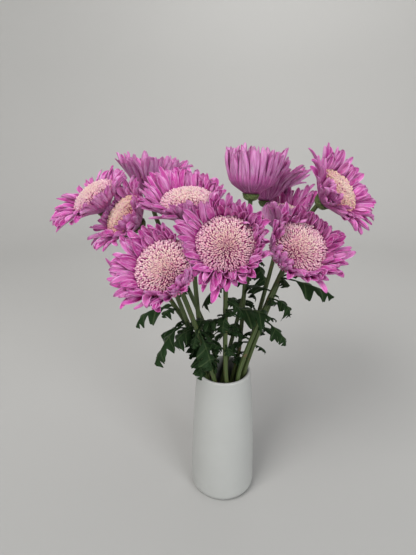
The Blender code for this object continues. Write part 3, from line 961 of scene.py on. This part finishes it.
class BUNCH_OT_bracts(bpy.types.Operator):
    """Builds the calyx of every flower"""

    bl_idname = "bunch.bracts"
    bl_label = "Bracts"

    def execute(self, context):
        look = context.scene.bunch_bracts
        finish = bract_finish(look)
        for head in HEADS:
            number = head.bloom.number
            shape = Shape("along", "across", "tint")
            add_bracts(shape, head, look, np.random.default_rng(BRACT_SEED + number))
            shape.piece(f"bracts_{number:02d}", finish, "calyx", f"flower_{number:02d}_calyx")
        return {"FINISHED"}


# ---------------------------------------------------------------- stems


class BUNCH_PG_stems(bpy.types.PropertyGroup):
    """Sizes and colours of the stems."""

    radius: FloatProperty(name="Radius", description="Radius of a stem", default=2.45 * MM, unit="LENGTH")
    ribs: IntProperty(name="Ribs", description="Ribs round a stem", default=6, min=3)
    green: FloatVectorProperty(name="Green", description="Colour of the ribs", subtype="COLOR",
                               default=(0.095, 0.135, 0.04))
    # Painted shade in the grooves between the ribs; the stem's own darker streaks take this colour too
    groove_shade_and_streaks: FloatVectorProperty(name="Groove", description="Colour between the ribs", subtype="COLOR",
                                default=(0.035, 0.055, 0.016))
    blush: FloatVectorProperty(name="Blush", description="Colour of the reddish marks", subtype="COLOR",
                               default=(0.16, 0.06, 0.03))


def stem_finish(look):
    """Ribbed green stems with painted shade in the grooves between the ribs, darker streaks, reddish marks,
    and a little yellower low down.
    """
    made = Finish("stem")
    rib, along, tint = made.attribute("rib"), made.attribute("along"), made.attribute("tint")
    streaks = made.noise(made.vector(rib * 3, along * 60, tint * 30), 1, 4)
    marks = made.noise(made.place(), 130, 3)
    # Painted shade in the grooves, and the stem's own darker streaks
    colour = made.mix(rib * 0.7 + streaks * 0.35, look.groove_shade_and_streaks, look.green)
    colour = made.mix(marks.step(0.58, 0.72) * 0.75, colour, look.blush)
    colour = made.mix(along.step(0.5, 0.42) * 0.25, colour, [0.18, 0.20, 0.07])
    made.set(Base_Color=colour, Roughness=streaks * 0.2 + 0.42, Specular_IOR_Level=0.4)
    made.bump(streaks * 0.5 + rib * 0.5, 0.2 * MM, 0.5)
    return made.material


STEM_RINGS, STEM_LUMPS = 110, 24
SIDES_PER_RIB = 4
STEM_SUNK = 0.8 * MM  # how far a stem goes into its calyx
JOINT_LENGTH = 3 * MM  # how far a leaf's joint swells its stem either way


def add_stem(shape, head, look, random):
    """A ribbed stem, a little uneven, that swells where a leaf joins it."""
    number = head.bloom.number
    sides = look.ribs * SIDES_PER_RIB
    line = STEMS[number]
    line = np.concatenate([line, [line[-1] + head.axis * STEM_SUNK]])
    steps = np.concatenate([[0], np.cumsum(np.linalg.norm(np.diff(line, axis=0), axis=1))])
    at = np.linspace(0, steps[-1], STEM_RINGS)
    line = np.stack([np.interp(at, steps, line[:, axis]) for axis in range(3)], -1)
    rib = 0.5 + 0.5 * np.cos(np.arange(sides) * math.tau / sides * look.ribs)
    lumps = random.normal(0, 0.02, STEM_LUMPS)
    lumps = np.interp(at, np.linspace(0, steps[-1], STEM_LUMPS), lumps)
    joints = [JAR_TOP + leaf.rise * MM for leaf in LEAVES if leaf.stem == number]
    swell = sum(np.exp(-((line[:, 2] - joint) / JOINT_LENGTH) ** 2) for joint in joints) * 0.1
    radii = look.radius * (1 + lumps + swell)[:, None] * (0.95 + 0.07 * rib)[None]
    rings = swept_tube(line, radii, sides)
    spread = rings.shape[:2]
    shape.add_rings(rings, rib=all_over(rib, spread), tint=random.uniform(),
                    along=all_over((at / steps[-1])[:, None], spread))


class BUNCH_OT_stems(bpy.types.Operator):
    """Builds every stem along the middle of the frame's stem"""

    bl_idname = "bunch.stems"
    bl_label = "Stems"

    def execute(self, context):
        look = context.scene.bunch_stems
        finish = stem_finish(look)
        for head in HEADS:
            number = head.bloom.number
            shape = Shape("rib", "along", "tint")
            add_stem(shape, head, look, np.random.default_rng(STEM_SEED + number))
            shape.piece(f"stem_{number:02d}", finish, "stem", f"flower_{number:02d}_stem")
        return {"FINISHED"}


# ---------------------------------------------------------------- leaves


class BUNCH_PG_leaves(bpy.types.PropertyGroup):
    """Sizes and colours of the leaves."""

    thickness: FloatProperty(name="Thickness", description="Thickness of a blade", default=0.5 * MM,
                             unit="LENGTH")
    upper: FloatVectorProperty(name="Upper", description="Colour of the upper side", subtype="COLOR",
                               default=(0.007, 0.021, 0.006))
    under: FloatVectorProperty(name="Under", description="Colour of the underside", subtype="COLOR",
                               default=(0.018, 0.042, 0.014))
    vein: FloatVectorProperty(name="Vein", description="Colour of the veins", subtype="COLOR",
                              default=(0.013, 0.032, 0.009))


LEAF_STATIONS, LEAF_COLUMNS = 72, 17
# Small leaves beside each leaf: rise above it in millimetres, turn from it and change of slope in
# degrees, with its share of the size between them
SMALL_LEAVES = ((1, 62, 0.46, 20), (1, -58, 0.42, 12), (-16, 165, 0.72, 10), (-30, 80, 0.6, 0),
                (-44, 200, 0.42, 30))
LOWEST_RISE = 7  # of a small leaf above the lip, in millimetres
LEAF_BLADE_START = 0.24  # share of the leaf's length that is stalk
LEAF_LOBES = 2.5  # lobes on each side, the end one included
LEAF_FOLD = math.radians(20)  # how far each half is folded down from the midrib
LEAF_STALK_HALF = 1.1 * MM  # half of the stalk's width
LEAF_OUT = 2 * MM  # from the stem's middle to the start of a leaf


def leaf_finish(look):
    """Matte dark leaves, puckered between sunk veins and paler beneath."""
    made = Finish("leaf")
    across, along = made.attribute("across"), made.attribute("along")
    side, phase = made.attribute("side"), made.attribute("phase")
    blotch = made.noise(made.place(), 160, 4)
    fine = made.noise(made.place(), 900, 3)
    midrib = abs(across).step(0.09, 0.02)
    branch = abs(phase.fraction() - 0.5).step(0.07, 0.015) * along.step(0.2, 0.3)
    twigs = abs((phase * 4).fraction() - 0.5).step(0.12, 0.03) * abs(across).step(0.1, 0.5)
    veins = made.node("ShaderNodeMath", {"operation": "MAXIMUM"}, {0: midrib, 1: branch * 0.75})
    upper = made.mix(blotch.step(0.35, 0.7), [c * 0.6 for c in look.upper], [c * 1.5 for c in look.upper])
    upper = made.mix(veins * 0.5 + twigs * 0.08, upper, look.vein)
    under = made.mix(blotch.step(0.3, 0.7), [c * 0.75 for c in look.under], look.under)
    under = made.mix(veins * 0.6, under, [0.08, 0.12, 0.05])
    made.set(Base_Color=made.mix(side, upper, under), Roughness=fine * 0.25 + 0.32,
             Specular_IOR_Level=0.07)
    made.bump(fine * 0.2 - veins * 0.8 - twigs * 0.3 + blotch * 0.5, 0.5 * MM, 0.7)
    return made.material


def leaf_line(leaf):
    """A leaf's middle line, the way that it runs, and the ways to its side and its upper side."""
    line = STEMS[leaf.stem]
    height = JAR_TOP + leaf.rise * MM
    place = np.array([np.interp(height, line[:, 2], line[:, axis]) for axis in range(3)])
    heading = math.radians(leaf.heading)
    out = np.array([math.cos(heading), math.sin(heading), 0.0])
    share = np.linspace(0, 1, LEAF_STATIONS)
    slope = leaf.root + (leaf.tip - leaf.root) * share - leaf.curl * smooth((share - 0.6) / 0.4)
    pitch, yaw = np.radians(slope)[:, None], np.radians(leaf.sway * share)[:, None]
    way = out * np.cos(yaw) + np.array([-out[1], out[0], 0]) * np.sin(yaw)
    tangent = way * np.cos(pitch) + np.array([0, 0, 1.0]) * np.sin(pitch)
    middle = place + out * LEAF_OUT + np.cumsum(tangent, 0) * leaf.length * MM / LEAF_STATIONS
    side = unit(np.cross(tangent, [0, 0, 1.0]))
    return middle, tangent, side, np.cross(side, tangent)


def leaf_outline(leaf, share):
    """Half widths along a leaf, and how many lobes each place is past the stalk."""
    blade = np.clip((share - LEAF_BLADE_START) / (1 - LEAF_BLADE_START), 0, 1)
    phase = blade * LEAF_LOBES
    lobe = np.abs(np.sin(phase * math.pi)) ** 0.6
    lobe = np.where(blade > 1 - 0.5 / LEAF_LOBES, 1, lobe)
    envelope = np.sin(np.clip(blade * 1.01, 0, 1) ** 0.85 * math.pi) ** 0.55 * (1 - 0.2 * blade)
    teeth = 1 + 0.05 * np.sin(phase * math.pi * 6)
    half = leaf.width * MM * 0.74 * envelope * (0.3 + 0.7 * lobe) * teeth
    return np.maximum(half, LEAF_STALK_HALF * (1 - 0.7 * smooth((share - 0.85) / 0.15))), phase


def add_leaf(shape, leaf, look, random):
    """A stalk and a blade with lobes that point forwards, folded along its midrib."""
    middle, tangent, side, up = leaf_line(leaf)
    share = np.linspace(0, 1, LEAF_STATIONS)
    half, phase = leaf_outline(leaf, share)
    share, phase = share[:, None], phase[:, None]
    x = np.linspace(-1, 1, LEAF_COLUMNS)
    aside = half[:, None] * x * (1 + 0.12 * np.sin(share * 7 + random.uniform(0, 6)) * np.sign(x))
    off = np.abs(aside)
    sweep = off * 0.4 * smooth(share * 4 - 0.6)
    wave = np.sin(share * 16 + np.sign(x) * 1.3 + random.uniform(0, 6)) * off * 0.22
    curl = -(off**2) / (leaf.width * MM / 2) * 0.25
    puff = 0.35 * MM * np.abs(np.sin(phase * math.pi)) * np.sin(np.abs(x) * math.pi)
    lift = -off * math.sin(LEAF_FOLD) * 0.6 + wave + curl + puff
    grid = (middle[:, None] - side[:, None] * (aside * math.cos(LEAF_FOLD))[..., None]
            + tangent[:, None] * sweep[..., None] + up[:, None] * lift[..., None])[None]
    spread = grid.shape[:3]
    body = np.broadcast_to(look.thickness / 2 * (1 - 0.5 * np.abs(x) ** 6), spread)
    stalk = 1 - smooth((share - 0.15) / 0.2)
    rib = (0.55 + 0.5 * stalk) * MM * np.exp(-((aside / (0.7 * MM)) ** 2)) * (1 - 0.8 * share)
    points, faces = shells(grid, body + stalk * 0.3 * MM * (1 - x**2), body + rib)
    shape.add(points, faces, across=both_sides(x, spread), along=both_sides(share, spread),
              side=side_flags(spread), phase=both_sides(phase, spread))


class BUNCH_OT_leaves(bpy.types.Operator):
    """Builds every leaf"""

    bl_idname = "bunch.leaves"
    bl_label = "Leaves"

    def execute(self, context):
        look = context.scene.bunch_leaves
        finish = leaf_finish(look)
        for leaf in LEAVES:
            shape = Shape("across", "along", "side", "phase")
            random = np.random.default_rng(LEAF_SEED + leaf.number)
            add_leaf(shape, leaf, look, random)
            for rise, turn, size, pitch in SMALL_LEAVES:
                small = leaf._replace(
                    rise=max(leaf.rise + rise, LOWEST_RISE),
                    heading=leaf.heading + turn + random.uniform(-20, 20),
                    length=leaf.length * size, width=leaf.width * size,
                    root=leaf.root + pitch, tip=leaf.tip + pitch, sway=-leaf.sway)
                add_leaf(shape, small, look, random)
            shape.piece(f"leaf_{leaf.number:02d}_blade", finish, "leaf", f"leaf_{leaf.number:02d}")
        return {"FINISHED"}


# ---------------------------------------------------------------- jar


JAR_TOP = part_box("jar")[1].z
JAR_ROUNDING, JAR_BULGE = 9 * MM, 1.2 * MM  # of its foot, and of its side halfway up
JAR_FLOOR, JAR_CORNER = 6 * MM, 5 * MM  # height of the well's floor and radius of its corner
JAR_RING, JAR_RING_DEPTH = 25 * MM, 0.8 * MM  # the hollow under the foot
JAR_AXIS_HOLE = 0.1 * MM  # radius at which the outline starts and ends
JAR_SIDES = 144
# Points of the outline past the lip's top where the well's painted shade starts, and over which it grows
INSIDE_START, INSIDE_FADE = 4, 6


class BUNCH_PG_jar(bpy.types.PropertyGroup):
    """Sizes and colours of the jar."""

    wall: FloatProperty(name="Wall", description="Thickness of the jar's wall", default=4 * MM,
                        unit="LENGTH")
    # Painted shade: the white glaze is set grey to stand for the dimmer light on the jar
    glaze: FloatVectorProperty(name="Glaze", description="Colour of the glaze", subtype="COLOR",
                               default=(0.48, 0.49, 0.478))
    # Painted shade in the well, where the stems keep the light out
    inside: FloatVectorProperty(name="Inside", description="Colour of the well", subtype="COLOR",
                                default=(0.16, 0.16, 0.15))
    roughness: FloatProperty(name="Roughness", description="Roughness of the glaze", default=0.38,
                             min=0, max=1, subtype="FACTOR")


def jar_finish(look):
    """Matte white glaze, painted grey as shade, very slightly uneven, with fine specks, and painted shade
    in the well.
    """
    made = Finish("jar_glaze")
    cloud = made.noise(made.place(), 28, 4)
    fine = made.noise(made.place(), 1500, 2)
    specks = made.noise(made.place(), 700, 1)
    colour = made.mix(cloud.step(0.3, 0.75), [c * 0.965 for c in look.glaze], look.glaze)
    colour = made.mix(specks.step(0.74, 0.8) * 0.25, colour, [0.62, 0.60, 0.56])
    # Painted shade in the well
    colour = made.mix(made.attribute("inside"), colour, look.inside)
    made.set(Base_Color=colour, Roughness=cloud * 0.14 + (look.roughness - 0.05), Specular_IOR_Level=0.45,
             Coat_Weight=cloud * 0.1, Coat_Roughness=0.3)
    made.bump(cloud * 0.7 + fine * 0.3, 0.06 * MM, 0.5)
    return made.material


def jar_outline(look):
    """The jar's outline, from the frame's jar: hollow, foot, side, rounded lip, well and floor."""
    corners = node_triangles("jar").reshape(-1, 3)
    radii = np.hypot(corners[:, 0], corners[:, 1])
    foot = radii.max()
    lip = radii[corners[:, 2] > JAR_TOP - 3 * MM].max()
    edge = look.wall / 2
    low, high = JAR_ROUNDING, JAR_TOP - edge
    corner_top = JAR_FLOOR + JAR_CORNER

    def side(share):
        return foot + (lip - foot) * share + JAR_BULGE * 4 * share * (1 - share)

    def arc(centre, radius, start, end, steps):
        turn = np.radians(np.linspace(start, end, steps))
        return [(centre[0] + radius * math.cos(a), centre[1] + radius * math.sin(a)) for a in turn]

    shares = np.linspace(0, 1, 34)[1:-1]
    outer = [(side(s), low + (high - low) * s) for s in shares]
    well = [(r - look.wall, z) for r, z in reversed(outer) if z > corner_top + 2 * MM]
    corner = side((corner_top - low) / (high - low)) - look.wall - JAR_CORNER
    hollow = [(JAR_AXIS_HOLE, JAR_RING_DEPTH), (JAR_RING, JAR_RING_DEPTH),
              (JAR_RING + JAR_RING_DEPTH, 0.0)]
    return (hollow + arc((foot - JAR_ROUNDING, low), JAR_ROUNDING, -90, 0, 12) + outer
            + arc((lip - edge, high), edge, 0, 180, 13) + well
            + arc((corner, corner_top), JAR_CORNER, 0, -90, 8) + [(JAR_AXIS_HOLE, JAR_FLOOR)])


class BUNCH_OT_jar(bpy.types.Operator):
    """Builds the glazed jar"""

    bl_idname = "bunch.jar"
    bl_label = "Jar"

    def execute(self, context):
        look = context.scene.bunch_jar
        rings = turned(jar_outline(look), JAR_SIDES)
        past_lip = np.arange(len(rings)) - rings[:, 0, 2].argmax()
        shape = Shape("inside")
        # Share of painted shade, growing down into the well
        inside = smooth((past_lip - INSIDE_START) / INSIDE_FADE)
        shape.add_rings(rings, inside=all_over(inside[:, None], rings.shape[:2]))
        shape.piece("glazed_jar", jar_finish(look), "jar_glaze", "jar")
        return {"FINISHED"}


# ---------------------------------------------------------------- studio


class BUNCH_PG_stage(bpy.types.PropertyGroup):
    """Paper sweep, lights and camera."""

    paper: FloatVectorProperty(name="Paper", description="Colour of the sweep behind the jar",
                               subtype="COLOR", default=(0.555, 0.551, 0.54))
    # Front: painted shade that darkens the sweep towards its front
    front: FloatVectorProperty(name="Front", description="Colour of the sweep near its front",
                               subtype="COLOR", default=(0.41, 0.412, 0.404))
    key: FloatProperty(name="Key", description="Power of the main light", default=24.5, unit="POWER")
    fill: FloatProperty(name="Fill", description="Power of the second light", default=14, unit="POWER")
    top: FloatProperty(name="Top", description="Power of the overhead light", default=6.5, unit="POWER")
    glow: FloatProperty(name="Glow", description="Power of the light on the backdrop", default=4.5,
                        unit="POWER")
    air: FloatProperty(name="Air", description="Strength of the even light", default=0.10)
    distance: FloatProperty(name="Distance", description="Camera distance in front of the jar",
                            default=0.413, unit="LENGTH")
    height: FloatProperty(name="Height", description="Camera height", default=0.42, unit="LENGTH")
    tilt: FloatProperty(name="Tilt", description="Camera tilt below the horizontal",
                        default=math.radians(19.86), subtype="ANGLE")
    pan: FloatProperty(name="Pan", description="Camera turn to the left", default=math.radians(2.49),
                       subtype="ANGLE")
    lens: FloatProperty(name="Lens", description="Focal length in millimetres", default=27.05)


# Radius of the sweep's floor, radius of its bend up into the wall, and height of the wall
SWEEP_FLAT, SWEEP_BEND, SWEEP_TOP, SWEEP_SIDES = 1.2, 0.7, 2.8, 96
# Soft square lights: where they stand, what they face, their side in metres and their tint
Light = namedtuple("Light", "name place aim size colour")
LIGHTS = (
    Light("key", (-0.75, -1.0, 1.6), (0, 0, 0.25), 0.9, (1.0, 0.985, 0.96)),
    Light("fill", (0.85, -1.25, 0.95), (0, 0, 0.3), 0.8, (0.97, 0.985, 1.0)),
    Light("top", (0.0, 0.2, 2.2), (0, 0, 0), 1.8, (1.0, 1.0, 1.0)),
    Light("glow", (0.15, 1.0, 1.3), (0.15, 1.9, 0.35), 0.7, (1.0, 0.995, 0.985)),
)


def paper_finish(look):
    """Matte paper with painted shade that darkens it near the front."""
    made = Finish("paper")
    grain = made.noise(made.place(), 400, 4)
    cloud = made.noise(made.place(), 1.6, 2)
    depth = made.node("ShaderNodeSeparateXYZ", inputs={"Vector": made.place()}, output="Y")
    # Painted shade: darker towards the front
    colour = made.mix(depth.step(-0.35, 0.5), look.front, look.paper)
    colour = made.mix(cloud * 0.04, colour, [1, 1, 1])
    made.set(Base_Color=colour, Roughness=0.85, Specular_IOR_Level=0.15)
    made.bump(grain, 0.1 * MM, 0.15)
    return made.material


def make_sweep(look):
    """A round floor that curves up into a wall."""
    bend = [(SWEEP_FLAT + SWEEP_BEND * math.sin(a), SWEEP_BEND - SWEEP_BEND * math.cos(a))
            for a in np.linspace(0, math.pi / 2, 24)[1:]]
    line = [(r, 0.0) for r in np.linspace(0.1, SWEEP_FLAT, 6)] + bend
    rings = turned(line + [(SWEEP_FLAT + SWEEP_BEND, SWEEP_TOP)], SWEEP_SIDES)
    walls, caps = tube_faces(1, *rings.shape[:2])
    mesh = bpy.data.meshes.new("sweep")
    faces = walls[:, ::-1].tolist() + [caps[0, ::-1].tolist()]
    mesh.from_pydata(rings.reshape(-1, 3).tolist(), [], faces)
    mesh.shade_smooth()
    mesh.materials.append(paper_finish(look))
    sweep = bpy.data.objects.new("sweep", mesh)
    bpy.context.scene.collection.objects.link(sweep)


def make_light(light, power):
    """A square soft light that faces a point."""
    data = bpy.data.lights.new(light.name, "AREA")
    data.size, data.energy, data.color = light.size, power, light.colour
    lamp = bpy.data.objects.new(light.name, data)
    lamp.location = light.place
    lamp.visible_camera = False
    facing = (Vector(light.aim) - Vector(light.place)).to_track_quat("-Z", "Y")
    lamp.rotation_euler = facing.to_euler()
    bpy.context.scene.collection.objects.link(lamp)


def make_air(look):
    """The even light from all round."""
    world = bpy.data.worlds.new("air")
    world.use_nodes = True
    sky = world.node_tree.nodes["Background"]
    sky.inputs["Color"].default_value = (0.96, 0.98, 1.0, 1)
    sky.inputs["Strength"].default_value = look.air
    bpy.context.scene.world = world


def make_camera(look):
    """The camera in front of the jar, looking down on it."""
    data = bpy.data.cameras.new("camera")
    data.lens = look.lens
    data.sensor_width = 36
    data.sensor_fit = "AUTO"
    data.clip_start, data.clip_end = 0.01, 20
    camera = bpy.data.objects.new("camera", data)
    camera.location = (0, -look.distance, look.height)
    camera.rotation_euler = (math.pi / 2 - look.tilt, 0, look.pan)
    bpy.context.scene.collection.objects.link(camera)
    bpy.context.scene.camera = camera


class BUNCH_OT_stage(bpy.types.Operator):
    """Builds the paper sweep, the lights and the camera"""

    bl_idname = "bunch.stage"
    bl_label = "Studio"

    def execute(self, context):
        look = context.scene.bunch_stage
        make_sweep(look)
        for light in LIGHTS:
            make_light(light, getattr(look, light.name))
        make_air(look)
        make_camera(look)
        context.scene.view_settings.view_transform = "Standard"
        return {"FINISHED"}


class BUNCH_PT_panel(bpy.types.Panel):
    """Lists the builders."""

    bl_idname = "BUNCH_PT_panel"
    bl_label = "Chrysanthemums in a Jar"
    bl_space_type = "VIEW_3D"
    bl_region_type = "UI"
    bl_category = "Bunch"

    def draw(self, context):
        for name, settings in SETTINGS.items():
            box = self.layout.box()
            box.operator(f"bunch.{name}")
            for key in settings.__annotations__:
                box.prop(getattr(context.scene, f"bunch_{name}"), key)


SETTINGS = {
    "jar": BUNCH_PG_jar, "stems": BUNCH_PG_stems, "bracts": BUNCH_PG_bracts, "petals": BUNCH_PG_petals,
    "florets": BUNCH_PG_florets, "leaves": BUNCH_PG_leaves, "stage": BUNCH_PG_stage,
}
CLASSES = (
    *SETTINGS.values(), BUNCH_OT_jar, BUNCH_OT_stems, BUNCH_OT_bracts, BUNCH_OT_petals,
    BUNCH_OT_florets, BUNCH_OT_leaves, BUNCH_OT_stage, BUNCH_PT_panel,
)


def register():
    """Adds the classes and their settings."""
    for each in CLASSES:
        bpy.utils.register_class(each)
    for name, settings in SETTINGS.items():
        setattr(bpy.types.Scene, f"bunch_{name}", PointerProperty(type=settings))


def unregister():
    """Takes them away again."""
    for name in SETTINGS:
        delattr(bpy.types.Scene, f"bunch_{name}")
    for each in reversed(CLASSES):
        bpy.utils.unregister_class(each)


def main():
    """Builds every piece and the studio."""
    register()
    for name in SETTINGS:
        getattr(bpy.ops.bunch, name)()


if __name__ == "__main__":
    main()
